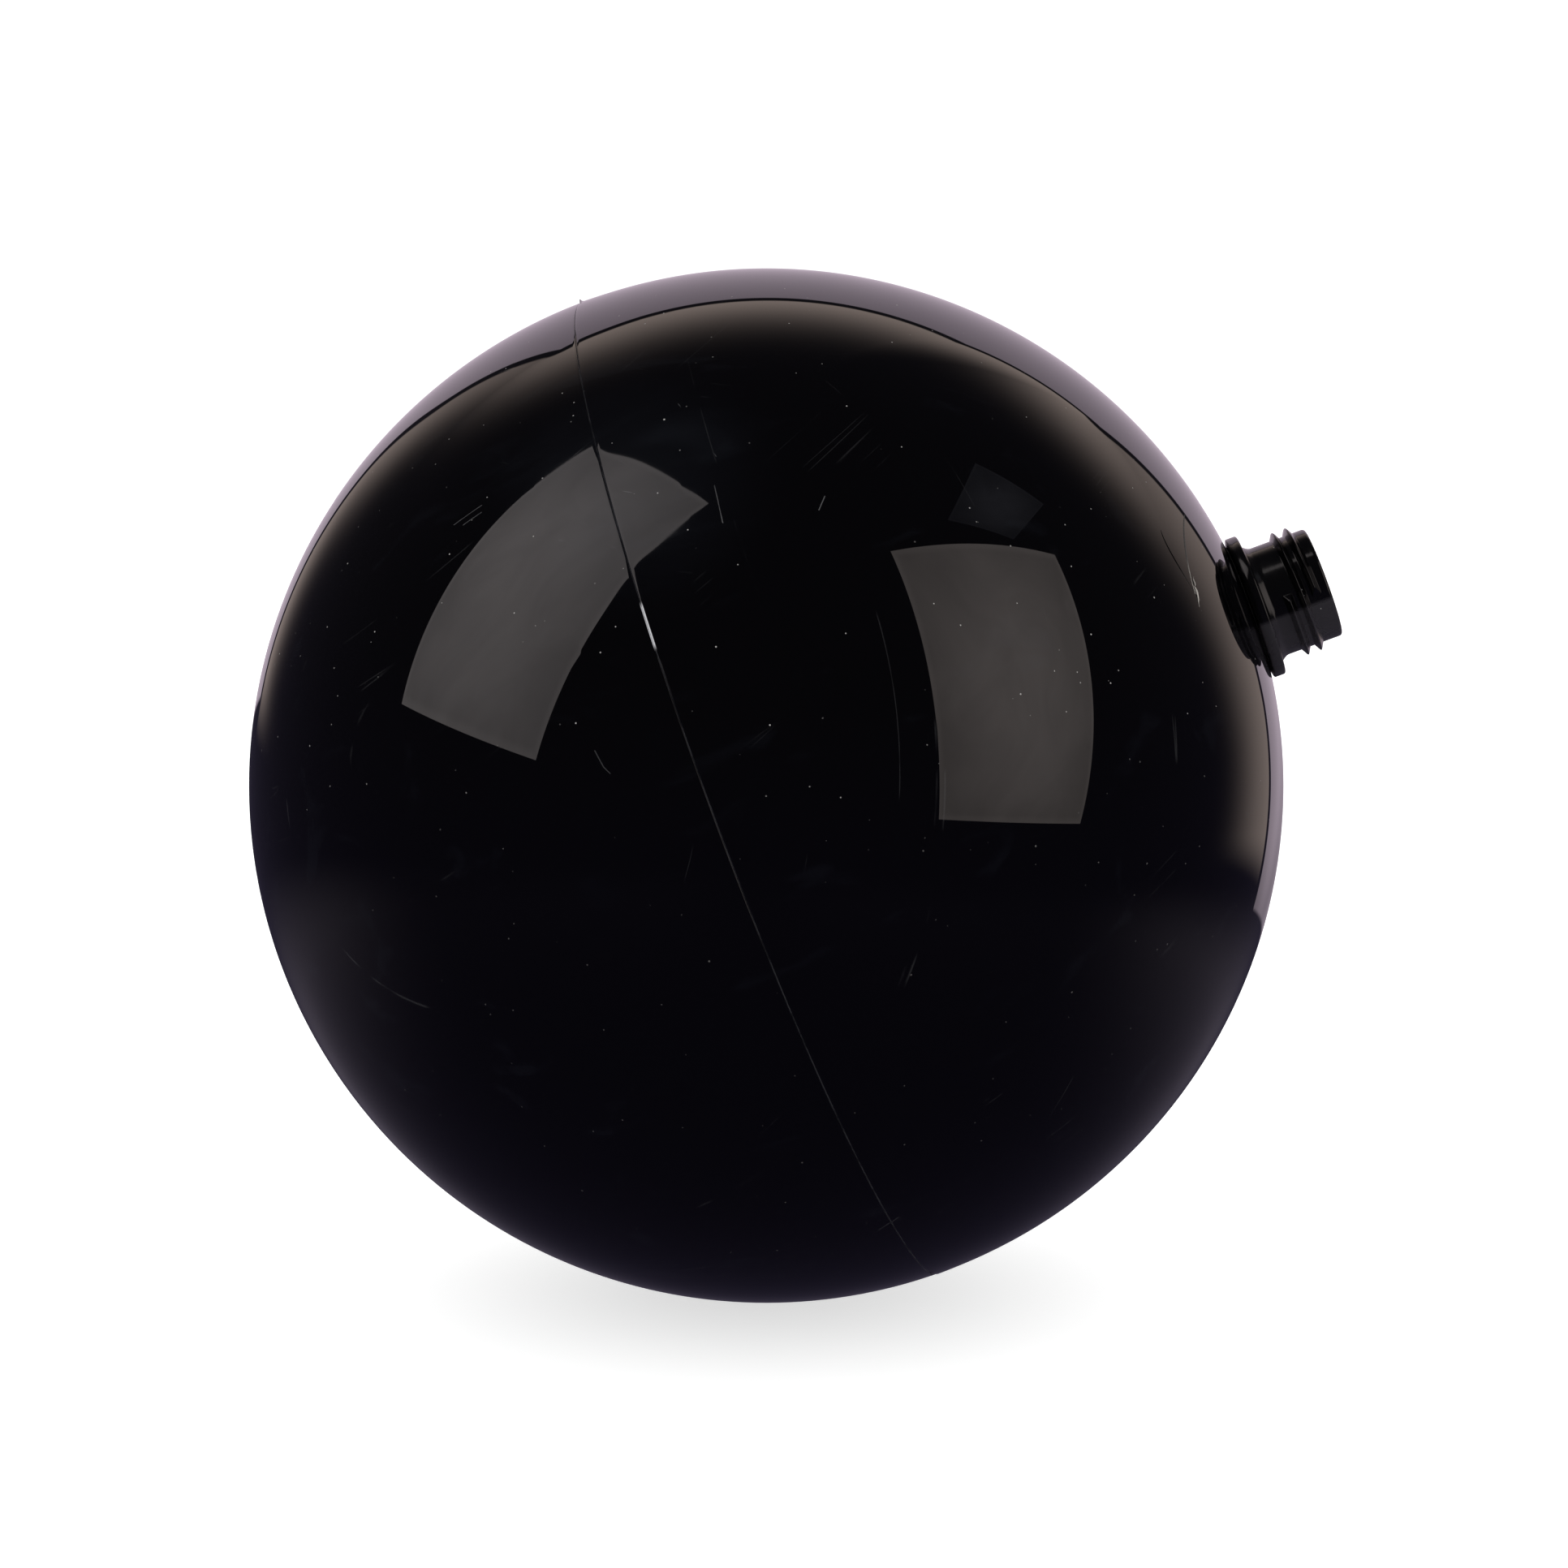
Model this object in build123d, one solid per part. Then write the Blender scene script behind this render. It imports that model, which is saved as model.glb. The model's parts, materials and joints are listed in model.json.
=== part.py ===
from build123d import *
import math
import os

# A hollow, hard, air-filled friction ball: two moulded half shells, a screwed-in filling neck
# and a small check valve that keeps the air in. Everything is modelled along the neck's own
# axis (local +Z, ball centre at 0) and turned into the resting pose at the very end.

# ---- Driving dimensions, in millimetres and degrees ----
ball_radius = 40.0
shell_wall = 2.5
neck_elevation = 20.5         # how far the neck points up from the table when the ball rests

seam_edge = 0.10              # small chamfer on both shell edges: together they make the seam groove
tongue_radius = 38.9          # outer radius of the locating tongue on the blind shell
tongue_thickness = 0.7
tongue_height = 1.2
tongue_gap = 0.05             # room for cement around the tongue
tongue_root = 0.5             # how far the tongue reaches down into its own shell
bead_half_width = 0.8         # cement squeezed out inside the joint
bead_height = 0.5

boss_radius = 8.6             # flat pad inside the neck side shell
boss_face = 35.0              # height of the pad's face above the ball centre
boss_root = 1.5               # how far the pad's back stays under the outer skin
spotface_radius = 5.05        # shallow recess outside, which holds the gasket
spotface_height = 39.2
pole_hole_radius = 4.25

socket_radius = 3.0           # mouth of the neck, which takes the probe of a pump
socket_floor = 41.5
throat_radius = 2.5           # narrower bore between the socket and the valve
shaft_radius = 4.34
lip_height = 45.82
lip_round = 0.25
mouth_chamfer = 0.20
flange_radius = 5.64
flange_seat = 39.70           # the flat ring that presses on the gasket
flange_low = 39.85            # rim's ball side edge
flange_high = 40.75           # rim's tip side edge
flange_round = 0.18
flange_foot = 0.50            # cove where the shaft meets the flange
shank_radius = 4.20
shank_end = 26.5
valve_bore_radius = 3.30      # wider bore in the shank, which takes the valve
valve_shoulder = 37.5

thread_crest_radius = 4.90
thread_pitch = 1.04
thread_turns = 2.03
thread_start_height = 42.61
thread_start_angle = -95.0
thread_base = 0.73            # ridge width at the shaft
thread_crest = 0.12           # flat on top of the ridge
thread_root_overlap = 0.20    # how deep the ridge is sunk into the shaft
thread_end_slope = 45.0       # slope of the facet that ends the ridge
thread_cutter = 4.0           # side of the block that cuts the facet

nut_across_flats = 13.0
nut_height = 3.0
nut_edge = 0.35
washer_radius = 7.6
washer_thickness = 0.5
gasket_inner_radius = 4.25
gasket_gap = 0.05             # room around the gasket in its recess

seat_bore_radius = 1.40
seat_low = 35.2
seat_lip_height = 0.30
seat_lip_inner = 1.65
seat_lip_outer = 2.05
seat_ring_groove = 0.45       # depth of the O-ring groove around the valve seat
seat_ring_drop = 0.75         # middle of that groove below the shoulder
seat_ring_half_width = 0.45
seal_thickness = 0.60
seal_clearance = 0.02         # running gap between seal and seat lip at rest
poppet_head_radius = 2.30
poppet_head_thickness = 1.10
poppet_stem_radius = 0.70
poppet_stem_round = 0.25
poppet_tip = 41.0
poppet_rim = 0.30             # height of the fence that holds the seal on the poppet head
poppet_rim_width = 0.12
poppet_joint = 0.1            # how deep stem and fins are sunk into the head
fin_radius = 1.34
fin_thickness = 0.50
fin_top = 39.0
fin_count = 3

spring_wire_radius = 0.20
spring_radius = 1.70
spring_turns = 6.0
retainer_low = 26.9
retainer_floor = 0.8
retainer_height = 2.4
retainer_inner_radius = 2.6
vent_radius = 0.5
vent_circle = 1.7
vent_count = 4
through = 1.0                 # how far a cutting tool runs past the face it leaves

seal_top = seat_low - seat_lip_height - seal_clearance
seal_low = seal_top - seal_thickness
head_low = seal_low - poppet_head_thickness
spring_low = retainer_low + retainer_floor
washer_top = boss_face
nut_top = washer_top - washer_thickness


def tube(outer, inner, low, high):
    """Plain ring between two heights on the neck's axis."""
    ring = Cylinder(outer, high - low) - Cylinder(inner, high - low)
    return Pos(0, 0, (low + high) / 2) * ring


def rod(radius, low, high):
    """Plain cylinder between two heights on the neck's axis."""
    return Pos(0, 0, (low + high) / 2) * Cylinder(radius, high - low)


def turned(outline):
    """Solid of revolution from a closed outline in (radius, height) points."""
    with BuildSketch(Plane.XZ) as sketch:
        with BuildLine():
            Polyline(*outline, close=True)
        make_face()
    return revolve(sketch.sketch, axis=Axis.Z)


def half_ball(side):
    """Hollow half ball; side is +1 for the neck half and -1 for the blind half."""
    inner = ball_radius - shell_wall
    edge = math.sqrt(ball_radius ** 2 - seam_edge ** 2)
    slant = math.sqrt(0.5)
    with BuildSketch(Plane.XZ) as section:
        with BuildLine():
            Polyline((inner, 0), (ball_radius - seam_edge, 0), (edge, side * seam_edge))
            ThreePointArc((edge, side * seam_edge), (ball_radius * slant, side * ball_radius * slant),
                          (0, side * ball_radius))
            Line((0, side * ball_radius), (0, side * inner))
            ThreePointArc((0, side * inner), (inner * slant, side * inner * slant), (inner, 0))
        make_face()
    return revolve(section.sketch, axis=Axis.Z)


def blind_side_shell():
    """Half shell with the locating tongue that stands up across the seam."""
    tongue = tube(tongue_radius, tongue_radius - tongue_thickness, -tongue_root, tongue_height)
    return half_ball(-1) + tongue


def neck_side_shell():
    """Half shell with the tongue's groove, the pole hole, its inner pad and the gasket recess."""
    groove = tube(tongue_radius + tongue_gap, tongue_radius - tongue_thickness - tongue_gap,
                  -through, tongue_height + tongue_gap)
    pad = rod(boss_radius, boss_face, ball_radius - boss_root)
    shell = half_ball(+1) - groove + pad
    shell -= rod(pole_hole_radius, boss_face - through, ball_radius + through)
    return shell - rod(spotface_radius, spotface_height, ball_radius + through)


def seam_weld_bead():
    """Ring of cement that bulges inwards behind the seam."""
    inner = ball_radius - shell_wall
    half_height = bead_half_width
    edge = math.sqrt(inner ** 2 - half_height ** 2)
    with BuildSketch(Plane.XZ) as section:
        with BuildLine():
            ThreePointArc((edge, -half_height), (inner, 0), (edge, half_height))
            ThreePointArc((edge, half_height), (inner - bead_height, 0), (edge, -half_height))
        make_face()
    return revolve(section.sketch, axis=Axis.Z)


def neck_thread():
    """Two turns of right-handed ridge whose ends are cut off as slanted facets."""
    rise = thread_crest_radius - shaft_radius
    spread = (thread_base - thread_crest) / 2 / rise
    foot = thread_base / 2 + spread * thread_root_overlap
    tip = thread_crest / 2
    path = Helix(thread_pitch, thread_pitch * thread_turns, shaft_radius)
    plane = Plane(origin=path @ 0, x_dir=(1, 0, 0), z_dir=path % 0)
    section = plane * Polygon((-thread_root_overlap, -foot), (rise, -tip), (rise, tip),
                              (-thread_root_overlap, foot), align=None)
    ridge = sweep(section, path=path, is_frenet=True)
    for end, turn in ((0.0, 1), (thread_turns, -1)):
        cutter = Box(thread_cutter, thread_cutter, thread_pitch,
                     align=(Align.MIN, Align.MAX, Align.CENTER))
        cutter = mirror(cutter, Plane.XZ) if turn < 0 else cutter
        place = Rot(0, 0, 360 * end) * Pos(shaft_radius, 0, thread_pitch * end)
        place *= Rot(0, 0, turn * thread_end_slope)
        ridge -= place * cutter
    return Pos(0, 0, thread_start_height) * Rot(0, 0, thread_start_angle) * ridge


def neck_fitting():
    """Flanged filling neck: lip, shaft and flange outside, shank with the valve bore inside."""
    body = turned([
        (socket_radius, lip_height), (shaft_radius, lip_height),
        (shaft_radius, flange_high), (flange_radius, flange_high), (flange_radius, flange_low),
        (spotface_radius, flange_seat), (shank_radius, flange_seat), (shank_radius, shank_end),
        (valve_bore_radius, shank_end), (valve_bore_radius, valve_shoulder),
        (throat_radius, valve_shoulder), (throat_radius, socket_floor),
        (socket_radius, socket_floor)])
    circles = body.edges().filter_by(GeomType.CIRCLE)
    foot = circles.filter_by(lambda e: near(e, shaft_radius, flange_high))
    body = fillet(foot, flange_foot)
    for radius, height, size in ((flange_radius, flange_high, flange_round),
                                 (shaft_radius, lip_height, lip_round)):
        edges = body.edges().filter_by(GeomType.CIRCLE).filter_by(lambda e: near(e, radius, height))
        body = fillet(edges, size)
    mouth = body.edges().filter_by(GeomType.CIRCLE)
    body = chamfer(mouth.filter_by(lambda e: near(e, socket_radius, lip_height)), mouth_chamfer)
    return body + neck_thread()


def near(edge, radius, height):
    """True for the circular edge of this radius at this height."""
    return abs(edge.radius - radius) < 1e-4 and abs(edge.arc_center.Z - height) < 1e-4


def neck_gasket():
    """Flat ring squeezed between the flange and the recess in the shell."""
    return tube(spotface_radius - gasket_gap, gasket_inner_radius, spotface_height, flange_seat)


def lock_washer():
    """Plain washer between the nut and the shell's inner pad."""
    return tube(washer_radius, pole_hole_radius, washer_top - washer_thickness, washer_top)


def lock_nut():
    """Hexagon nut that clamps the neck from inside the ball."""
    hexagon = extrude(RegularPolygon(nut_across_flats / 2, 6, major_radius=False), nut_height)
    corner = nut_across_flats / math.sqrt(3)
    blank = Cylinder(corner, nut_height, align=(Align.CENTER, Align.CENTER, Align.MIN))
    blank = chamfer(blank.edges().filter_by(GeomType.CIRCLE), nut_edge)
    nut = Pos(0, 0, nut_top - nut_height) * (hexagon & blank)
    return nut - rod(shank_radius, nut_top - nut_height - through, nut_top + through)


def valve_seat():
    """Bush pressed into the shank, with a raised lip for the seal and a groove for its O-ring."""
    groove = valve_bore_radius - seat_ring_groove
    middle = valve_shoulder - seat_ring_drop
    seat = tube(valve_bore_radius, seat_bore_radius, seat_low, valve_shoulder)
    seat += tube(seat_lip_outer, seat_lip_inner, seat_low - seat_lip_height, seat_low)
    return seat - tube(valve_bore_radius + through, groove,
                       middle - seat_ring_half_width, middle + seat_ring_half_width)


def seat_o_ring():
    """O-ring squashed into the valve seat's groove against the shank's bore."""
    minor = seat_ring_groove / 2
    return Pos(0, 0, valve_shoulder - seat_ring_drop) * Torus(valve_bore_radius - minor, minor)


def valve_poppet():
    """Poppet: round head, seal fence and a finned stem that a filling probe pushes inwards."""
    head = rod(poppet_head_radius, head_low, seal_low)
    head += tube(poppet_head_radius, poppet_head_radius - poppet_rim_width,
                 seal_low, seal_low + poppet_rim)
    stem = rod(poppet_stem_radius, seal_low - poppet_joint, poppet_tip)
    stem = fillet(stem.edges().filter_by(GeomType.CIRCLE).sort_by(Axis.Z)[-1], poppet_stem_round)
    poppet = head + stem
    length = fin_top - seal_low + poppet_joint
    for index in range(fin_count):
        fin = Box(fin_radius, fin_thickness, length, align=(Align.MIN, Align.CENTER, Align.MIN))
        poppet += Rot(0, 0, 360 / fin_count * index) * Pos(0, 0, seal_low - poppet_joint) * fin
    return poppet


def poppet_seal():
    """Flat rubber ring on the poppet head, which meets the seat's lip."""
    return tube(poppet_head_radius - poppet_rim_width, seat_bore_radius, seal_low, seal_top)


def valve_spring():
    """Compression spring between the retainer's floor and the poppet head."""
    height = head_low - spring_low - 2 * spring_wire_radius
    path = Helix(height / spring_turns, height, spring_radius)
    section = Plane(origin=path @ 0, z_dir=path % 0) * Circle(spring_wire_radius)
    wire = sweep(section, path=path, is_frenet=True)
    return Pos(0, 0, spring_low + spring_wire_radius) * wire


def spring_retainer():
    """Vented cup pressed into the end of the shank."""
    cup = rod(valve_bore_radius, retainer_low, retainer_low + retainer_height)
    cup -= rod(retainer_inner_radius, spring_low, retainer_low + retainer_height + through)
    for index in range(vent_count):
        angle = math.radians(360 / vent_count * index)
        vent = rod(vent_radius, retainer_low - through, spring_low + through)
        cup -= Pos(vent_circle * math.cos(angle), vent_circle * math.sin(angle), 0) * vent
    return cup


nodes = [blind_side_shell, neck_side_shell, seam_weld_bead, neck_fitting, neck_gasket,
         lock_washer, lock_nut, valve_seat, seat_o_ring, valve_poppet, poppet_seal,
         valve_spring, spring_retainer]

os.makedirs("parts", exist_ok=True)
rest_pose = Rot(0, 90 - neck_elevation, 0)
for node in nodes:
    piece = rest_pose * node()
    export_step(piece, f"parts/{node.__name__}.step")
    print(f"{node.__name__}: {piece.volume:.2f} mm3, valid {piece.is_valid}")
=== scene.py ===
# %% [markdown]
# A case opening friction ball: a hard, hollow, mirror-black ball made of two half shells, with a
# small threaded filling neck at one pole and a brass check valve inside it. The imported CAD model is
# the frame. This file gives it smooth meshes, worn polished plastic, and a studio to stand in.

# %% Load the frame
import bmesh
import bpy
import json
import math
from mathutils import Matrix, Vector, noise


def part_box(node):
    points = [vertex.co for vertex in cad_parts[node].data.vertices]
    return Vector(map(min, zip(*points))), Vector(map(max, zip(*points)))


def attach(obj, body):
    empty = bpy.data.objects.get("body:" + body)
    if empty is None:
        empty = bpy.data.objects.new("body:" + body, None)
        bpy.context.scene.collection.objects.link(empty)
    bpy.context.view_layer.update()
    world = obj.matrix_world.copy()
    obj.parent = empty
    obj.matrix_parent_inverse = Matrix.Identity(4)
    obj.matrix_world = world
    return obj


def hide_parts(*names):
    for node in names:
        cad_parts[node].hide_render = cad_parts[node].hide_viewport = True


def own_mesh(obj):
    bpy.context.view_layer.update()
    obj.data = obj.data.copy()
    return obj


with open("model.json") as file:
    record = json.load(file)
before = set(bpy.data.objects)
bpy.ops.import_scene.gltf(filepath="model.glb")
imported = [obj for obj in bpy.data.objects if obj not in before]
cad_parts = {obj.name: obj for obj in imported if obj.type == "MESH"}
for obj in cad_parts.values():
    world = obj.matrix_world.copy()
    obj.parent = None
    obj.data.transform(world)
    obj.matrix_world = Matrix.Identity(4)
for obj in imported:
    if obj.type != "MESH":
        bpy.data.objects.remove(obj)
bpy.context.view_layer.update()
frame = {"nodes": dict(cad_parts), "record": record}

# %% [markdown]
# Every round piece of this object is turned about one line, the neck's own axis. It is far easier
# to model along that axis, in millimetres, with the ball's centre at zero, and to turn and scale
# the finished mesh into the resting pose once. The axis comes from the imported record.

# %% The neck's own axis
mounts = {mount["name"]: mount for mount in frame["record"]["mounts"]}
neck_axis = Vector(mounts["mouth_bore"]["axis"])
tilt = math.atan2(neck_axis.x, neck_axis.z)
to_rest = Matrix.Rotation(tilt, 4, "Y") @ Matrix.Scale(0.001, 4)
ball_radius = -1000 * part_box("blind_side_shell")[0].x
floor_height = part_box("blind_side_shell")[0].z
print(f"ball radius {ball_radius:.2f} mm, neck points {90 - math.degrees(tilt):.1f} degrees up")


def on_ball(latitude, longitude, height=0.0):
    """Point on the ball in the resting pose; latitude is counted from the seam to the neck."""
    lat, lon = math.radians(latitude), math.radians(longitude)
    spot = Vector((math.cos(lat) * math.cos(lon), math.cos(lat) * math.sin(lon), math.sin(lat)))
    return to_rest @ (spot * (ball_radius + height))


# %% [markdown]
# Sizes that the looks share with the CAD model, in millimetres along the neck's axis.

# %% Shared sizes
shell_wall = 2.5
tongue_out, tongue_in, tongue_height, tongue_gap = 38.9, 38.2, 1.2, 0.05
pad_radius, pad_face = 8.6, 35.0
recess_radius, recess_floor, pole_hole = 5.05, 39.2, 4.25
socket_radius, socket_floor, throat_radius = 3.0, 41.5, 2.5
shaft_radius, lip_height, lip_round, mouth_bevel = 4.34, 45.82, 0.25, 0.20
flange_radius, flange_seat, flange_low, flange_high, flange_round = 5.64, 39.70, 39.85, 40.75, 0.18
flange_foot, foot_cove = 0.50, 0.60
seat_bevel, seat_bevel_drop = 0.06, 0.006
shank_radius, shank_end, valve_bore, valve_shoulder = 4.20, 26.5, 3.30, 37.5
thread_rise, thread_pitch, thread_turns, thread_start = 0.56, 1.04, 2.03, 42.61
thread_base, thread_crest, thread_blend = 0.73, 0.10, 0.05
thread_angle = math.radians(-95)

# %% [markdown]
# An outline is drawn the way a turner would describe it: straight runs and arcs, one after the
# other. Each run extrudes the last vertex, and each arc spins it about a centre, so the mesh never
# needs a typed list of points. A full spin about the axis then makes the solid.

# %% Outline and lathe helpers
weld_distance = 1e-4


class Outline:
    """A line of vertices in the plane through the axis, which grows run by run."""

    def __init__(self, radius, height):
        self.bm = bmesh.new()
        self.last = self.bm.verts.new((radius, 0, height))

    def run(self, radius, height, cuts=0):
        start, end = self.last.co.copy(), Vector((radius, 0, height))
        for step in range(1, cuts + 2):
            grown = bmesh.ops.extrude_vert_indiv(self.bm, verts=[self.last])
            self.last = grown["verts"][0]
            self.last.co = start.lerp(end, step / (cuts + 1))
        return self

    def arc(self, radius, height, degrees, steps):
        grown = bmesh.ops.spin(self.bm, geom=[self.last], cent=(radius, 0, height), axis=(0, -1, 0),
                               angle=math.radians(degrees), steps=steps)
        self.last = [g for g in grown["geom_last"] if isinstance(g, bmesh.types.BMVert)][0]
        return self

    def turned(self, steps):
        """Spins an eighth of the piece, then doubles it three times to close the circle."""
        bm = self.bm
        bmesh.ops.spin(bm, geom=bm.verts[:] + bm.edges[:], cent=(0, 0, 0), axis=(0, 0, 1),
                       angle=math.pi / 4, steps=steps // 8)
        for degrees in (45, 90, 180):
            copy = bmesh.ops.duplicate(bm, geom=bm.verts[:] + bm.edges[:] + bm.faces[:])["geom"]
            bmesh.ops.rotate(bm, verts=[g for g in copy if isinstance(g, bmesh.types.BMVert)],
                             cent=(0, 0, 0), matrix=Matrix.Rotation(math.radians(degrees), 3, "Z"))
        bmesh.ops.remove_doubles(bm, verts=bm.verts[:], dist=weld_distance)
        return bm


def into_object(bm, name, material):
    """Puts a finished mesh into the scene as an object with one material."""
    mesh = bpy.data.meshes.new(name)
    bm.to_mesh(mesh)
    bm.free()
    mesh.materials.append(material)
    made = bpy.data.objects.new(name, mesh)
    bpy.context.scene.collection.objects.link(made)
    return made


def finish_piece(bm, name, body, material, stands_for=(), sharp=40):
    """Turns a mesh from the neck's axis into the resting pose and makes it a riding object."""
    bmesh.ops.recalc_face_normals(bm, faces=bm.faces[:])
    bm.transform(to_rest)
    for face in bm.faces:
        face.smooth = True
    for edge in bm.edges:
        edge.smooth = edge.calc_face_angle(0) < math.radians(sharp)
    piece = into_object(bm, name, material)
    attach(piece, body)
    if stands_for:
        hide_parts(*stands_for)
    print(f"{name}: {len(piece.data.polygons)} faces")
    return piece


# %% [markdown]
# Shader maths reads best as ordinary expressions, so one small class wraps a socket and turns
# + - * / into Math nodes. Any other node comes from one method that takes its type, its settings
# and what goes into its sockets.

# %% Shader maths
class Signal:
    """A socket that can be added, multiplied and compared like a number."""

    def __init__(self, graph, socket):
        self.graph, self.socket = graph, socket

    def math(self, operation, *others):
        return self.graph.node("ShaderNodeMath", {"operation": operation},
                               dict(enumerate((self, *others))))

    def __add__(self, other):
        return self.math("ADD", other)

    def __radd__(self, other):
        return self.math("ADD", other)

    def __sub__(self, other):
        return self.math("SUBTRACT", other)

    def __rsub__(self, other):
        return (self * -1).math("ADD", other)

    def __mul__(self, other):
        return self.math("MULTIPLY", other)

    def __rmul__(self, other):
        return self.math("MULTIPLY", other)

    def __truediv__(self, other):
        return self.math("DIVIDE", other)

    def __rtruediv__(self, other):
        return self.math("POWER", -1) * other

    def __pow__(self, other):
        return self.math("POWER", other)

    def __abs__(self):
        return self.math("ABSOLUTE")

    def below(self, other):
        return self.math("LESS_THAN", other)

    def most(self, other):
        return self.math("MAXIMUM", other)

    def least(self, other):
        return self.math("MINIMUM", other)

    def fade(self, low, high, start=0.0, end=1.0):
        """Smooth ramp from start to end while the signal goes from low to high."""
        return self.graph.node("ShaderNodeMapRange", {"interpolation_type": "SMOOTHSTEP"},
                               {"Value": self, "From Min": low, "From Max": high,
                                "To Min": start, "To Max": end})


class Graph:
    """A node tree that is written as expressions."""

    def __init__(self, tree):
        self.tree = tree
        tree.nodes.clear()

    def node(self, kind, settings=None, inputs=None, out=0):
        made = self.tree.nodes.new(kind)
        for name, value in (settings or {}).items():
            setattr(made, name, value)
        for name, value in (inputs or {}).items():
            socket = made.inputs[name]
            if isinstance(value, Signal):
                self.tree.links.new(value.socket, socket)
            else:
                socket.default_value = value
        return Signal(self, made.outputs[out]) if made.outputs else None

    def split(self, vector):
        parts = self.node("ShaderNodeSeparateXYZ", inputs={0: vector}).socket.node
        return [Signal(self, parts.outputs[n]) for n in range(3)]

    def noise(self, where, scale, detail=2.0, **more):
        return self.node("ShaderNodeTexNoise", inputs={"Vector": where, "Scale": scale,
                                                       "Detail": detail, **more})

    def blend(self, mask, first, second):
        return self.node("ShaderNodeMix", {"data_type": "RGBA"}, {0: mask, 6: first, 7: second}, 2)

    def dot(self, first, second):
        return self.node("ShaderNodeVectorMath", {"operation": "DOT_PRODUCT"},
                         {0: first, 1: second}, 1)

    def length(self, vector):
        return self.node("ShaderNodeVectorMath", {"operation": "LENGTH"}, {0: vector}, 1)


def new_material(name):
    material = bpy.data.materials.new(name)
    material.use_nodes = True
    graph = Graph(material.node_tree)
    where = graph.node("ShaderNodeTexCoord", out=3)
    return material, graph, where


def surface(graph, base, roughness, normal=None, **constants):
    """The one shader of each material, with its output."""
    links = {"Base Color": base, "Roughness": roughness}
    if normal is not None:
        links["Normal"] = normal
    names = {name.replace("_", " ").title(): value for name, value in constants.items()}
    names = {name.replace("Ior", "IOR"): value for name, value in names.items()}
    shader = graph.node("ShaderNodeBsdfPrincipled", inputs={**links, **names})
    graph.node("ShaderNodeOutputMaterial", inputs={0: shader})


# %% [markdown]
# The ball's plastic is polished until it mirrors the studio. What keeps it real is what a duster
# leaves: faint smears that blur the mirror a little, hairline scratches, and grains of dust, most
# of them on the upper side. Each is a mask on the object's own coordinates, so it stays put from
# every side. The seam's cement is masked in too: a thin grey line, with one bright sliver beside it
# that is a painted glint.

# %% Polished shell plastic
def stretched(graph, where, lengths, turn=(0, tilt, 0)):
    """Coordinates in the neck's own frame, or a turned one, in which marks grow long by lengths."""
    return graph.node("ShaderNodeMapping", {"vector_type": "TEXTURE"},
                      {0: where, "Rotation": turn, "Scale": lengths})


def dust(graph, where, spacing, grain, share):
    """Mask of round grains: one candidate per cell, of which only a share are kept."""
    cells = {"Vector": where, "Scale": 1 / spacing, "Randomness": 1.0}
    away = graph.node("ShaderNodeTexVoronoi", inputs=cells)
    tint = graph.node("ShaderNodeTexVoronoi", inputs=cells, out=1)
    pick, bright, _ = graph.split(tint)
    return away.fade(grain / spacing * 0.5, grain / spacing, 1, 0) * pick.below(share) * bright


def hairlines(graph, where, turn, spacing, width, patch):
    """Mask of fine straight scratches that all run one way and only show in patches."""
    wavy = graph.noise(stretched(graph, where, (1, 50, 50), turn), 1 / spacing, 2.0)
    line = abs(wavy - 0.5).fade(0, width, 1, 0)
    return line * graph.noise(where, patch, 2.0).fade(0.62, 0.70)


def stroke(graph, where, start, end, width):
    """Mask of one scratch between two places on the ball, given as latitude and longitude."""
    first, last = on_ball(*start), on_ball(*end)
    run = last - first
    minus = {"operation": "SUBTRACT"}
    offset = graph.node("ShaderNodeVectorMath", minus, {0: where, 1: first})
    share = graph.dot(offset, run / run.length_squared).most(0).least(1)
    step = graph.node("ShaderNodeVectorMath", {"operation": "SCALE"}, {0: run, "Scale": share})
    gap = graph.length(graph.node("ShaderNodeVectorMath", minus, {0: offset, 1: step}))
    return gap.fade(width * 0.3, width, 1, 0)


def nearness(graph, where, place, reach):
    """Soft round patch around one place."""
    away = graph.node("ShaderNodeVectorMath", {"operation": "DISTANCE"}, {0: where, 1: place}, 1)
    return away.fade(0, reach, 1, 0)


def all_dust(graph, where, rub):
    """Fine and coarse grains, more of them where the ball was rubbed, few on its lower side."""
    grains = dust(graph, where, 0.0013, 0.00007, 0.9) * 1.3
    grains = grains.most(dust(graph, where, 0.0030, 0.00009, 0.9) * 1.6)
    grains = grains.most(dust(graph, where, 0.0008, 0.00006, rub.fade(0.2, 1.0) * 0.5) * 1.3)
    height = graph.split(where)[2]
    return grains * height.fade(-0.004, 0.012, 0.12, 1.0)


# Start and end of each single scratch as latitude and longitude, and its half width in metres.
single_scratches = (
    ((-8.8, -103.2), (-8.5, -101.4), 6e-5), ((-8.5, -101.4), (-8.1, -100.6), 5e-5),
    ((-16.5, -134.2), (-13.0, -134.5), 4e-5), ((-15.5, -133.4), (-13.2, -133.6), 4e-5),
    ((9.0, -137.5), (11.2, -129.0), 4e-5), ((10.2, -125.5), (9.9, -121.0), 5e-5),
    ((19.3, -119.9), (20.3, -121.4), 5e-5),
)


def all_scratches(graph, where, rub, broken):
    """Patches of hairlines in three directions, and the single scratches."""
    scratches = hairlines(graph, where, (0.4, 0.9, 0.2), 0.003, 0.004, 120.0) * 0.12
    scratches = scratches.most(hairlines(graph, where, (1.2, 0.1, 1.0), 0.004, 0.004, 150.0) * 0.15)
    scratches = scratches.most(hairlines(graph, where, (0.2, 1.4, 2.0), 0.002, 0.006, 260.0) * rub)
    for start, end, width in single_scratches:
        scratches = scratches.most(stroke(graph, where, start, end, width) * broken * 0.8)
    return scratches


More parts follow.
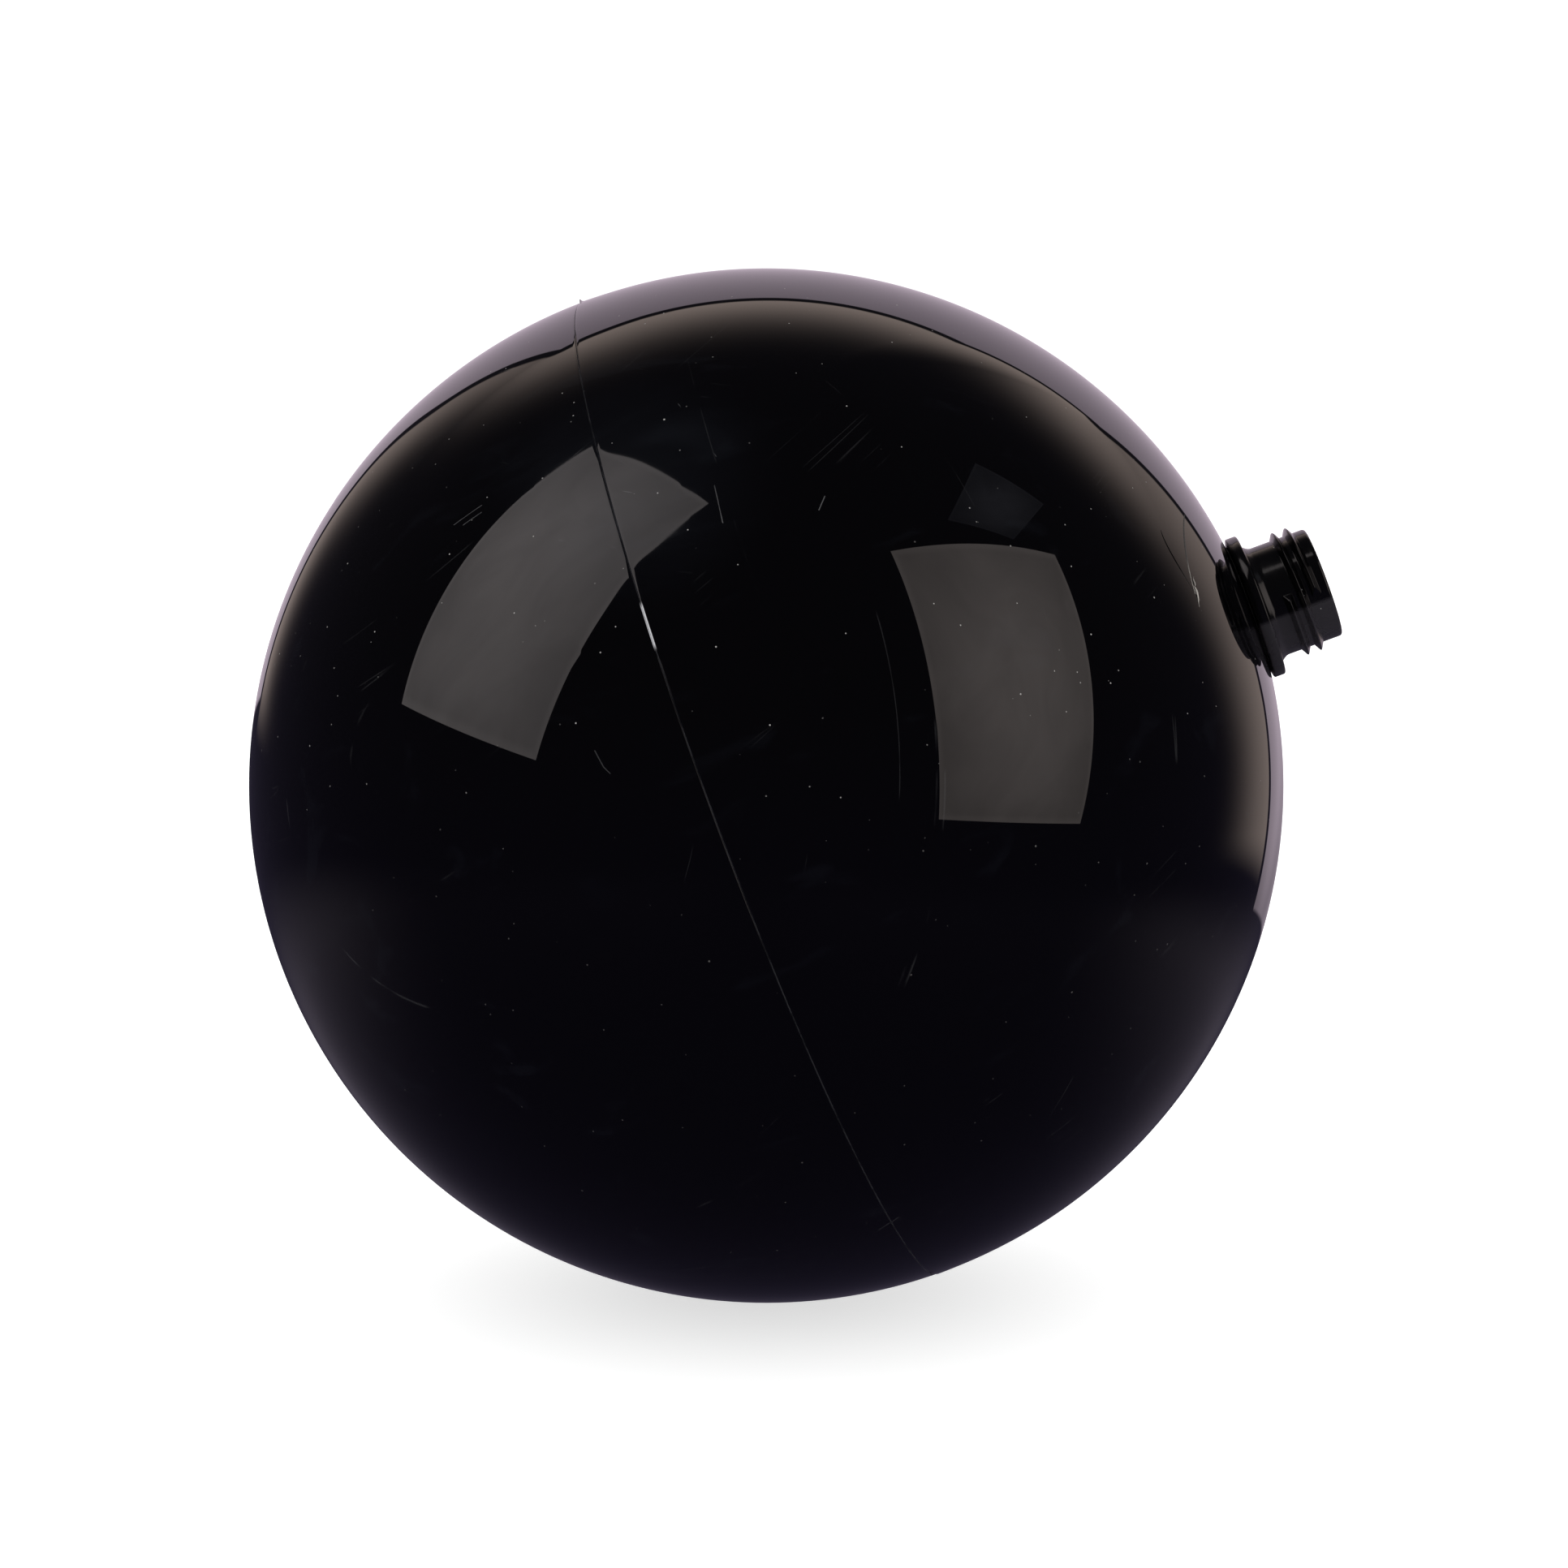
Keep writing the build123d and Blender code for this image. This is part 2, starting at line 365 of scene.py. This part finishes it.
def shell_plastic(name):
    material, graph, where = new_material(name)
    rub = nearness(graph, where, on_ball(2, -129), 0.012)
    smear = graph.noise(stretched(graph, where, (1, 1, 4)), 260.0, 5.0, Distortion=0.6)
    smear = smear.fade(0.45, 0.75)
    haze = rub * (smear * 0.7 + 0.3) + smear.fade(0.5, 1.0) * 0.15
    broken = graph.noise(where, 350.0, 3.0).fade(0.35, 0.60, 0.35, 1.0)
    grains = all_dust(graph, where, rub)
    scratches = all_scratches(graph, where, rub, broken)
    across = graph.dot(where, neck_axis)
    ring = abs(across - 0.00765).fade(0, 0.00006, 1, 0) * smear
    ring = ring * nearness(graph, where, on_ball(11, -128), 0.014)
    burr = abs(across).fade(0.00002, 0.00006, 1, 0) * broken
    # Painted glint: a light colour on the seam's edge near one place, standing in for a highlight.
    painted_glint = abs(across).fade(0.00006, 0.00011, 1, 0)
    painted_glint = painted_glint * nearness(graph, where, on_ball(0, -112.9), 0.0024).fade(0.1, 0.4)
    deep = graph.blend(haze, (0.0006, 0.00055, 0.0008, 1), (0.0070, 0.0080, 0.0105, 1))
    scuffed = graph.blend(scratches.most(ring * 0.25) * 0.3, deep, (0.26, 0.26, 0.27, 1))
    edged = graph.blend(burr, scuffed, (0.030, 0.030, 0.034, 1))
    edged = graph.blend(painted_glint, edged, (0.50, 0.50, 0.52, 1))
    colour = graph.blend(grains.least(1), edged, (0.30, 0.29, 0.28, 1))
    rough = haze * 0.10 + smear * 0.010 + 0.010 + scratches * 0.12 + grains * 0.5 + burr * 0.4
    normal = graph.node("ShaderNodeBump", inputs={"Strength": 0.25, "Distance": 0.00002,
                                                  "Height": scratches * -0.3 + grains})
    surface(graph, colour, rough.least(0.7), normal, ior=1.5)
    return material


polished = shell_plastic("polished shell plastic")
print("made", polished.name)

# %% [markdown]
# The half shells are the ball. Each is a bowl with a wall, turned from one outline. The edges at
# the seam are rounded by a tenth of a millimetre. The neck's half swells by a few hundredths beside
# the seam, as plastic does where it was softened and pressed, and the other half sinks a little.
# That is what breaks the reflections where they cross the seam. At a few places a sliver of cement
# flash stands proud of the groove and catches the light; at one of them a painted glint in the
# shell's colour adds to it.

# %% Half shells
seam_round = 0.11
seam_arc = 7
around = 480
skin_depth, seam_reach = 0.5, 8.0
edge_reach, raggedness = 0.09, 0.015


def shape_seam(bm, seed, height, reach, flashes=()):
    """Lifts or sinks the skin beside the seam, and raises slivers of flash on its edge."""
    for vert in bm.verts:
        off, out = abs(vert.co.z), vert.co.length
        if out < ball_radius - skin_depth or off > seam_reach:
            continue
        lon = math.atan2(vert.co.y, vert.co.x)
        wander = noise.noise((2.2 * math.cos(lon), 2.2 * math.sin(lon), seed))
        lift = height * (1 + 0.9 * wander) * math.exp(-(off / reach) ** 1.5)
        ragged = noise.noise((60 * math.cos(lon), 60 * math.sin(lon), seed))
        edge = math.exp(-(off / edge_reach) ** 2)
        lift += max(0.0, ragged) * raggedness * edge
        for middle, half_length, proud in flashes:
            away = (math.degrees(lon) - middle + 180) % 360 - 180
            lift += proud * edge * max(0.0, 1 - (away / half_length) ** 2)
        vert.co += vert.co.normalized() * lift


def seam_edge_outline(side):
    """Outline from the inner skin along the seam's face and around its rounded outer edge."""
    inner = ball_radius - shell_wall
    line = Outline(inner, 0)
    if side > 0:
        top = tongue_height + tongue_gap
        line.run(tongue_in - tongue_gap, 0).run(tongue_in - tongue_gap, top)
        line.run(tongue_out + tongue_gap, top).run(tongue_out + tongue_gap, 0)
    else:
        line.run(tongue_in, 0).run(tongue_in, tongue_height)
        line.run(tongue_out, tongue_height).run(tongue_out, 0)
    line.run(ball_radius - seam_round, 0)
    line.arc(ball_radius - seam_round, side * seam_round, side * 90, 6)
    lean = math.degrees(math.asin(seam_round / ball_radius))
    line.arc(0, 0, side * seam_arc, 32)
    return line, side * (seam_arc + lean)


def blind_shell():
    line, reached = seam_edge_outline(-1)
    line.arc(0, 0, -90 - reached, 64)
    line.run(0, -(ball_radius - shell_wall))
    line.arc(0, 0, 90, 24)
    bm = line.turned(around)
    shape_seam(bm, 3.0, -0.010, 1.2)
    return finish_piece(bm, "blind_half", "ball", polished, ["blind_side_shell"])


def neck_shell():
    line, reached = seam_edge_outline(+1)
    recess_edge = math.degrees(math.acos(recess_radius / ball_radius))
    line.arc(0, 0, recess_edge - reached, 64)
    line.run(recess_radius, recess_floor).run(pole_hole, recess_floor).run(pole_hole, pad_face)
    line.run(pad_radius, pad_face)
    inner = ball_radius - shell_wall
    pad_angle = math.degrees(math.acos(pad_radius / inner))
    line.run(pad_radius, inner * math.sin(math.radians(pad_angle)))
    line.arc(0, 0, -pad_angle, 24)
    bm = line.turned(around)
    shape_seam(bm, 8.0, 0.030, 1.3, ((-175, 1.3, 0.30), (-19, 1.2, 0.25), (-113.4, 2.6, 0.10),
                                     (-110.6, 0.9, 0.16)))
    return finish_piece(bm, "neck_half", "ball", polished, ["neck_side_shell"])


blind_half = blind_shell()
neck_half = neck_shell()

# %% [markdown]
# A piece of lint clings to the ball beside the neck: a dark fibre, held by its frayed lower end and
# standing off the skin at the other, so that the ball mirrors it a little to one side. Each strand
# is a small ring that is extruded step by step along its way.

# %% Lint
def strand(bm, way, thickness, steps=28):
    """Extrudes a ring along way(share), which tapers towards both ends."""
    ring = bmesh.ops.create_circle(bm, segments=6, radius=1.0)["verts"]
    for vert in ring:
        vert.co = way(0) + vert.co * thickness * 0.3
    loop = list({edge for vert in ring for edge in vert.link_edges})
    bmesh.ops.contextual_create(bm, geom=loop)
    for step in range(1, steps + 1):
        share = step / steps
        grown = bmesh.ops.extrude_edge_only(bm, edges=loop)["geom"]
        loop = [g for g in grown if isinstance(g, bmesh.types.BMEdge)]
        ring = [g for g in grown if isinstance(g, bmesh.types.BMVert)]
        middle = sum((vert.co for vert in ring), Vector()) / len(ring)
        wide = thickness * (0.3 + 0.7 * math.sin(math.pi * min(share * 1.2, 1)) ** 0.5)
        for vert in ring:
            vert.co = way(share) + (vert.co - middle).normalized() * wide
    bmesh.ops.contextual_create(bm, geom=loop)


def lint_material():
    material, graph, where = new_material("lint fibre")
    frayed_end = nearness(graph, where, on_ball(63, -101), 0.0032)
    mottle = graph.noise(where, 3000.0, 2.0)
    dark_fibre = graph.blend(mottle, (0.02, 0.018, 0.018, 1), (0.06, 0.054, 0.05, 1))
    surface(graph, graph.blend(frayed_end, dark_fibre, (0.40, 0.37, 0.34, 1)), mottle * 0.3 + 0.5)
    return material


def lint(name):
    stands_off = Vector((-0.07, -0.995, 0.03))

    def fibre(share):
        bend = 68.4 - 5.3 * (1 - (1 - share) ** 1.45)
        off = 0.0040 * (1 - share) ** 1.2 + 0.00004
        return on_ball(bend, -127.7 + 26 * share) + stands_off * off

    def frayed(turn, length):
        def way(share):
            curl = math.sin(share * 5 + turn) * 0.4
            return on_ball(63.4 + turn * share + curl * 0.4, -103.5 + 5 * share * length, 0.05)
        return way

    bm = bmesh.new()
    strand(bm, fibre, 0.00006)
    for turn, length in ((-0.5, 1.0), (0.1, 0.7), (0.7, -0.5)):
        strand(bm, frayed(turn, length), 0.00004, 12)
    bmesh.ops.recalc_face_normals(bm, faces=bm.faces[:])
    piece = into_object(bm, name, lint_material())
    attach(piece, "ball")
    print(name, len(piece.data.polygons), "faces")
    return piece


lint_fibre = lint("lint_fibre")

# %% [markdown]
# The neck is one moulding: lip, shaft, thread and flange. A small cone leads from the shaft to the
# flange, and throws back the brightest streak of the whole neck. The thread could be a separate
# swept ridge, but a real one grows out of the shaft with a small fillet. So the shaft is turned
# with fine rings where the thread will be, and the rings are then pushed outwards along the helix.

# %% Neck fitting
def soft_least(first, second, blend):
    """The lesser of two values, with the corner between them rounded."""
    gap = max(0.0, blend - abs(first - second)) / blend
    return min(first, second) - gap * gap * blend / 4


def ridge_height(angle, height):
    """How far the thread stands out of the shaft at one place on it."""
    slope = thread_rise / ((thread_base - thread_crest) / 2)
    best = 0.0
    for turn in range(int(thread_turns) + 1):
        swept = angle + 2 * math.pi * turn
        flank = (thread_base / 2 - abs(height - thread_start - thread_pitch * turn
                                       - thread_pitch * angle / (2 * math.pi))) * slope
        from_ends = min(swept, 2 * math.pi * thread_turns - swept) * shaft_radius
        top = soft_least(flank, thread_rise, 2 * thread_blend)
        best = -soft_least(-best, -min(top, from_ends), thread_blend)
    return max(0.0, best - thread_blend / 4)


def neck():
    line = Outline(socket_radius, lip_height - mouth_bevel)
    line.run(socket_radius + mouth_bevel, lip_height).run(shaft_radius - lip_round, lip_height, 3)
    line.arc(shaft_radius - lip_round, lip_height - lip_round, -90, 8)
    line.run(shaft_radius, thread_start + thread_pitch * thread_turns + thread_base, 3)
    line.run(shaft_radius, thread_start - thread_base, 140)
    line.run(shaft_radius, flange_high + 1.5 * flange_foot, 3)
    line.arc(shaft_radius + foot_cove, flange_high + 1.5 * flange_foot, 32, 3)
    line.run(shaft_radius + 0.72 * flange_foot, flange_high + 0.10 * flange_foot, 3)
    line.run(shaft_radius + 1.2 * flange_foot, flange_high)
    line.run(flange_radius - flange_round, flange_high, 2)
    line.arc(flange_radius - flange_round, flange_high - flange_round, -90, 6)
    line.run(flange_radius, flange_low + seat_bevel)
    line.run(flange_radius - seat_bevel, flange_low - seat_bevel_drop)
    line.run(recess_radius, flange_seat).run(shank_radius, flange_seat)
    line.run(shank_radius, shank_end).run(valve_bore, shank_end).run(valve_bore, valve_shoulder)
    line.run(throat_radius, valve_shoulder).run(throat_radius, socket_floor)
    line.run(socket_radius, socket_floor).run(socket_radius, lip_height - mouth_bevel)
    bm = line.turned(288)
    low, high = thread_start - thread_base, thread_start + thread_pitch * thread_turns + thread_base
    for vert in bm.verts:
        if low < vert.co.z < high and vert.co.xy.length > shaft_radius - 0.01:
            angle = (math.atan2(vert.co.y, vert.co.x) - thread_angle) % (2 * math.pi)
            out = vert.co.xy.normalized() * (shaft_radius + ridge_height(angle, vert.co.z))
            vert.co.xy = out
    return finish_piece(bm, "neck", "ball", moulded, ["neck_fitting"], 50)


def neck_plastic(name):
    """Moulded black plastic. Its lower side is rougher and has a painted reflection: a greyer colour
    for a light table under it.
    """
    material, graph, where = new_material(name)
    tooling = graph.noise(stretched(graph, where, (20, 20, 1)), 5000.0, 2.0)
    cloud = graph.noise(where, 350.0, 4.0)
    grains = dust(graph, where, 0.0009, 0.00006, 0.6)
    down = graph.dot(where, (math.cos(tilt), 0, -math.sin(tilt)))
    along, whole = graph.dot(where, neck_axis), graph.length(where)
    from_axis = (whole * whole - along * along).most(0) ** 0.5
    # The lower side is rougher, and its greyer base colour is a painted reflection of a light table
    # under the neck.
    dull = (down + cloud * 0.0003).fade(0.00100, 0.00145) * from_axis.fade(0.00405, 0.00425)
    glossy = graph.blend(cloud, (0.0005, 0.0005, 0.0006, 1), (0.0014, 0.0013, 0.0015, 1))
    painted_table_reflection = graph.blend(cloud, (0.0120, 0.0106, 0.0134, 1), (0.0230, 0.0206, 0.0246, 1))
    colour = graph.blend(grains, graph.blend(dull, glossy, painted_table_reflection), (0.35, 0.34, 0.33, 1))
    rough = cloud.fade(0.3, 0.7) * 0.06 + 0.09 + dull * 0.14 + grains * 0.5
    normal = graph.node("ShaderNodeBump", inputs={"Strength": 0.25, "Distance": 0.00001,
                                                  "Height": tooling + cloud * 2 + grains * 2})
    surface(graph, colour, rough, normal, ior=1.5)
    return material


moulded = neck_plastic("moulded neck plastic")
neck_piece = neck()

# %% [markdown]
# The pieces inside keep their CAD shapes, because they are exact and hardly seen; only the spring
# gets a mesh of its own, in the next cell. Each still gets its real finish: turned brass for the
# valve, bright steel for the washer and the spring, matt rubber for the seals, set cement for the
# bead behind the seam, and moulded plastic for the nut.

# %% Inner materials
def metal(name, bright, dull, rough, mark_lengths):
    """Turned or drawn metal with fine tool marks and slight tarnish."""
    material, graph, where = new_material(name)
    fine = graph.noise(stretched(graph, where, mark_lengths), 2500.0, 2.0)
    tarnish = graph.noise(where, 400.0, 4.0).fade(0.35, 0.75)
    colour = graph.blend(tarnish, bright, dull)
    normal = graph.node("ShaderNodeBump", inputs={"Strength": 0.2, "Distance": 0.00001,
                                                  "Height": fine})
    surface(graph, colour, tarnish * 0.15 + fine * 0.08 + rough, normal, metallic=1.0)
    return material


def soft_material(name, first, second, rough, scale):
    """Rubber, cement or unpolished plastic: cloudy colour and an uneven skin."""
    material, graph, where = new_material(name)
    cloud = graph.noise(where, scale, 4.0)
    grain = graph.noise(where, scale * 9, 2.0)
    normal = graph.node("ShaderNodeBump", inputs={"Strength": 0.3, "Distance": 0.00002,
                                                  "Height": grain})
    surface(graph, graph.blend(cloud, first, second), cloud * 0.15 + rough, normal, ior=1.5)
    return material


brass = metal("turned brass", (0.83, 0.62, 0.28, 1), (0.52, 0.36, 0.16, 1), 0.16, (20, 20, 1))
steel = metal("bright steel", (0.62, 0.62, 0.61, 1), (0.40, 0.39, 0.38, 1), 0.20, (10, 10, 1))
rubber = soft_material("seal rubber", (0.010, 0.010, 0.010, 1), (0.022, 0.021, 0.020, 1), 0.55, 500)
cement = soft_material("set cement", (0.05, 0.045, 0.04, 1), (0.09, 0.08, 0.07, 1), 0.25, 300)
nut_plastic = soft_material("nut plastic", (0.018, 0.018, 0.019, 1), (0.03, 0.03, 0.032, 1),
                            0.4, 300)
spring_wire = metal("spring wire", (0.60, 0.60, 0.61, 1), (0.34, 0.33, 0.33, 1), 0.18, (1, 1, 1))
finishes = {
    "seam_weld_bead": cement, "neck_gasket": rubber, "lock_washer": steel,
    "lock_nut": nut_plastic, "valve_seat": brass, "seat_o_ring": rubber, "valve_poppet": brass,
    "poppet_seal": rubber, "spring_retainer": brass,
}
for node, material in finishes.items():
    slots = frame["nodes"][node].material_slots
    for slot in slots:
        slot.material = material
    print(node, "gets", material.name)

# %% [markdown]
# The valve's spring has to shorten when the poppet is pushed in. A ring of wire, spun about the
# axis while it climbs, gives the coil. The share of its length that the coil keeps at the valve's
# limit is worked out from the poppet's travel and printed.

# %% Valve spring
wire_radius, coil_radius, coil_turns, coil_low, coil_high = 0.20, 1.70, 6, 27.70, 33.18


def valve_spring():
    bm = bmesh.new()
    ring = bmesh.ops.create_circle(bm, segments=14, radius=wire_radius, cap_ends=True)["verts"]
    bmesh.ops.rotate(bm, verts=ring, cent=(0, 0, 0), matrix=Matrix.Rotation(math.pi / 2, 3, "X"))
    bmesh.ops.translate(bm, verts=ring, vec=(coil_radius, 0, coil_low + wire_radius))
    steps = 36 * coil_turns
    climb = (coil_high - coil_low - 2 * wire_radius) / steps
    coil = bmesh.ops.spin(bm, geom=ring + bm.edges[:], cent=(0, 0, 0), axis=(0, 0, 1),
                          dvec=(0, 0, climb), angle=2 * math.pi * coil_turns, steps=steps)
    last = [g for g in coil["geom_last"] if isinstance(g, bmesh.types.BMEdge)]
    bmesh.ops.contextual_create(bm, geom=last)
    piece = finish_piece(bm, "coil_spring", "ball", spring_wire,
                         ["valve_spring"], 60)
    travel = next(j for j in frame["record"]["behaviour"]["joints"] if j["name"] == "valve_travel")
    length = coil_high - coil_low
    keep = 1 - 1000 * travel["range_m"][1] / length
    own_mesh(piece)
    print(f"spring {length:.2f} mm long, keeps {keep:.3f} of it at the valve's limit")
    return piece


coil_spring = valve_spring()

# %% [markdown]
# A black mirror is only as good as what it mirrors. The studio is a white sweep to the eye, but
# the ball's reflections see a dark room with one bright panel behind the ball, in a thin frame,
# whose light spills warmly onto the walls around it. The world's shader holds that room, and picks
# it for reflected rays only.

# %% The room in the reflections
def studio_world():
    world = bpy.data.worlds.new("studio")
    world.use_nodes = True
    bpy.context.scene.world = world
    graph = Graph(world.node_tree)
    direction = graph.node("ShaderNodeTexCoord")
    x, y, z = graph.split(direction)
    ahead = y.most(0.02)
    across, upward = x / ahead, z / ahead
    near_x = across.most(-0.487 - upward.fade(0.25, 0.5) * 0.05).least(0.545 + (z * -0.3).most(0))
    top = (0.85 - near_x * 0.10).least(1.264 - near_x * 1.29)
    near_z = upward.most(-0.137 - near_x * 0.217).least(top)
    nearest = graph.node("ShaderNodeCombineXYZ", inputs={0: near_x, 1: 1.0, 2: near_z})
    nearest = graph.node("ShaderNodeVectorMath", {"operation": "NORMALIZE"}, {0: nearest})
    off = graph.dot(nearest, direction).least(1.0).math("ARCCOSINE") * (180 / math.pi)
    panel = off.fade(0.0, 0.4, 1, 0) * (z + near_x.fade(0.2, 0.5) * 0.12).fade(-0.16, 0.0, 0.45, 1)
    over, beside = (upward - near_z).most(0), abs(across - near_x)
    above = over / (over + beside + 0.001)
    right = near_x.fade(-0.1, 0.4)
    reach = above * 12.5 + (1 - above) * (right * 12.0 + 9.5)
    strength = above * 0.46 + 0.52
    spill = (off / reach) ** ((1 - above) * right * 1.6 + 2.0) * -1
    spill = spill.math("EXPONENT") * strength * off.fade(1.7, 2.4)
    spill = spill * (z + right * 0.15).fade(-0.06, 0.01) * y.fade(0.0, 0.2)
    depth = z * -1 - x.fade(0.2, 0.9) * 0.06
    fall = ((depth - 0.2).most(0) / 0.28) ** 2 * -1
    table = depth.fade(0.17, 0.34) * fall.math("EXPONENT") * abs(x).fade(0.05, 0.4, 0.35, 1.0)
    table = table * y.fade(-0.3, 0.4, 0.1, 1.0)
    room = graph.blend(z.fade(-0.4, 0.5), (0.027, 0.023, 0.044, 1), (0.024, 0.022, 0.028, 1))
    room = graph.blend(table, room, (0.135, 0.118, 0.155, 1))
    glow = graph.blend(spill, room, (1.0, 0.81, 0.73, 1))
    lit = graph.blend(panel, glow, (0.66, 0.55, 0.65, 1))
    reflected = graph.node("ShaderNodeLightPath", out=3)
    shown = graph.blend(reflected, (1.12, 1.12, 1.12, 1), lit)
    background = graph.node("ShaderNodeBackground", inputs={0: shown, 1: 1.0})
    graph.node("ShaderNodeOutputWorld", inputs={0: background})
    return world


world = studio_world()
print("world:", world.name, "with", len(world.node_tree.nodes), "nodes")

# %% [markdown]
# Two soft boxes hang in front of the ball, left and right. Each is a plain sheet that shines a
# little brighter in its middle, seen by reflections only. A box is placed by its middle and by
# two half sides, in millimetres from the ball's centre.

# %% Soft boxes
def soft_box(name, middle, half_width, half_height, bright, edge):
    centre, side, rise = Vector(middle), Vector(half_width), Vector(half_height)
    bm = bmesh.new()
    bmesh.ops.create_grid(bm, x_segments=8, y_segments=8, size=1.0)
    facing = side.cross(rise).normalized()
    shape = Matrix((side, rise, facing)).transposed().to_4x4()
    shape.translation = centre
    material, graph, where = new_material(name)
    u, v, _ = graph.split(where)
    fall = (u * u + v * v) ** 0.5
    folds = graph.noise(where, 1.3, 3.0, Distortion=1.2) * 0.5 + 0.75
    hem = abs(u).most(abs(v)).fade(0.93, 0.99, 0.0, 0.12)
    power = fall.fade(0.1, 1.35, 1.0, edge) * folds + hem
    glow = graph.node("ShaderNodeEmission", inputs={0: bright, 1: power})
    graph.node("ShaderNodeOutputMaterial", inputs={0: glow})
    sheet = into_object(bm, name, material)
    sheet.matrix_world = Matrix.Scale(0.001, 4) @ shape
    sheet.visible_camera = sheet.visible_diffuse = sheet.visible_shadow = False
    print(name, "is", round(2 * side.length), "by", round(2 * rise.length), "mm")
    return sheet


left_box = soft_box("left soft box", (-384, -195, 418), (130, -153, -34), (141, 53, 298),
                    (1.50, 1.38, 1.38, 1), 0.65)
right_box = soft_box("right soft box", (494, -261, 219), (150, 143, -19), (-80, 118, 257),
                     (1.25, 1.11, 1.07, 1), 0.60)
far_window = soft_box("far window", (384, -19, 461), (98, 30, 28), (-19, 81, -18),
                      (0.16, 0.16, 0.19, 1), 0.5)

# %% [markdown]
# The floor is a plain pale sheet that glows a little, like a lit table, so only a faint shadow is
# left under the ball. Reflected rays don't see it: the room they see has a dark table.

# %% Floor
def studio_floor():
    bm = bmesh.new()
    bmesh.ops.create_grid(bm, x_segments=2, y_segments=2, size=3.0)
    material, graph, where = new_material("pale floor")
    paper = graph.noise(where, 8.0, 2.0) * 0.01 + 0.68
    tint = graph.node("ShaderNodeCombineColor", inputs={0: paper, 1: paper, 2: paper})
    surface(graph, tint, 0.95, emission_color=(1, 1, 1, 1), emission_strength=0.67,
            specular_ior_level=0.0)
    floor = into_object(bm, "floor", material)
    floor.location.z = floor_height
    floor.visible_glossy = False
    return floor


floor = studio_floor()
print("floor at", round(floor_height * 1000, 2), "mm")

# %% [markdown]
# The camera looks slightly down from in front and a little to the right, from about six and a half
# ball radii away, with a lens long enough to keep the sphere a circle.

# %% Camera
def add_camera(azimuth, elevation, distance, lens, aim):
    turn, rise = math.radians(azimuth), math.radians(elevation)
    level = math.cos(rise)
    away = Vector((math.sin(turn) * level, -math.cos(turn) * level, math.sin(rise)))
    data = bpy.data.cameras.new("camera")
    data.lens, data.sensor_width = lens, 36.0
    data.clip_start, data.clip_end = 0.01, 20.0
    camera = bpy.data.objects.new("camera", data)
    bpy.context.scene.collection.objects.link(camera)
    camera.location = away * distance
    look = Vector(aim) - camera.location
    camera.rotation_euler = look.to_track_quat("-Z", "Y").to_euler()
    bpy.context.scene.camera = camera
    return camera


camera = add_camera(3.9, 6.0, 0.264, 77.5, (0.00136, 0.0, 0.00013))
bpy.context.scene.view_settings.view_transform = "Standard"
print("lens", camera.data.lens, "mm")
